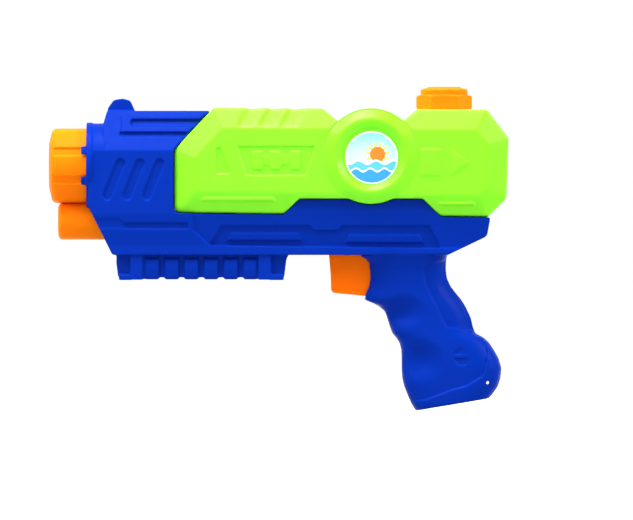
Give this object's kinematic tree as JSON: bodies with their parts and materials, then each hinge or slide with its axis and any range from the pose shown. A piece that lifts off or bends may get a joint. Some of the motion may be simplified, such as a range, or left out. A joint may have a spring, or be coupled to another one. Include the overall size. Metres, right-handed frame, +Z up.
{
  "type": "toy water squirter",
  "caption": "Toy water squirter: blue moulded body with a pistol grip, green tank with a screw cap on top, orange fluted muzzle, and a sliding trigger that works a plunger pump.",
  "frame": {"origin": "middle of the pistol grip, on the parting plane of the shells", "axes": "-X is the way the muzzle points, +Z is up, +Y is to the right shell with the screws"},
  "size_m": [0.2754, 0.06, 0.1943],
  "materials": {
    "blue_shell": "moulded polystyrene, soft gloss",
    "green_tank": "moulded plastic, soft gloss",
    "orange_cap": "moulded plastic, soft gloss",
    "orange_barrel": "moulded plastic, soft gloss",
    "orange_trigger": "moulded plastic, soft gloss",
    "white_plastic": "natural moulded plastic",
    "hose_plastic": "soft milky hose",
    "rubber_black": "matt rubber",
    "steel": "zinc plated",
    "label": "printed film"
  },
  "bodies": {
    "housing": {"left_shell": "blue_shell", "right_shell": "blue_shell", "water_tank": "green_tank", "muzzle": "orange_barrel", "nozzle": "white_plastic", "nozzle_seal": "rubber_black", "lower_barrel": "orange_barrel", "badge_left": "label", "badge_right": "label", "pump_cylinder": "white_plastic", "cylinder_cap": "white_plastic", "valve_head": "white_plastic", "head_seal": "rubber_black", "intake_spigot": "white_plastic", "tank_grommet": "rubber_black", "outlet_barb": "white_plastic", "outlet_tube": "hose_plastic", "shell_screws": "steel", "trigger_spring": "steel", "outlet_spring": "steel"},
    "trigger_group": {"trigger": "orange_trigger", "plunger": "white_plastic", "plunger_seal": "rubber_black"},
    "cap_seal": {"cap_gasket": "rubber_black"},
    "cap": {"filler_cap": "orange_cap"},
    "intake_check": {"intake_ball": "steel"},
    "outlet_check": {"outlet_ball": "steel"}
  },
  "joints": [
    {"name": "trigger_slide", "type": "slide", "parent": "housing", "child": "trigger_group", "axis": [1, 0, 0], "range_m": [0, 0.01], "stiffness_N_per_m": 600, "springref_m": -0.008, "deforming": ["trigger_spring"]},
    {"name": "cap_lift", "type": "slide", "parent": "housing", "child": "cap_seal", "axis": [0, 0, 1], "range_m": [0, 0.032]},
    {"name": "cap_turn", "type": "hinge", "parent": "cap_seal", "child": "cap", "pos_m": [0.0145, 0, 0.13], "axis": [0, 0, 1], "range_deg": [0, 2880]},
    {"name": "intake_ball_lift", "type": "slide", "parent": "housing", "child": "intake_check", "axis": [0, 0, 1], "range_m": [0, 0.0015]},
    {"name": "outlet_ball_lift", "type": "slide", "parent": "housing", "child": "outlet_check", "axis": [-1, 0, 0], "range_m": [0, 0.0012], "stiffness_N_per_m": 60, "springref_m": -0.001, "deforming": ["outlet_spring"]}
  ],
  "couplings": [
    {"joint": "cap_turn", "follows": "cap_lift", "rad_per_m": 1570.8}
  ]
}
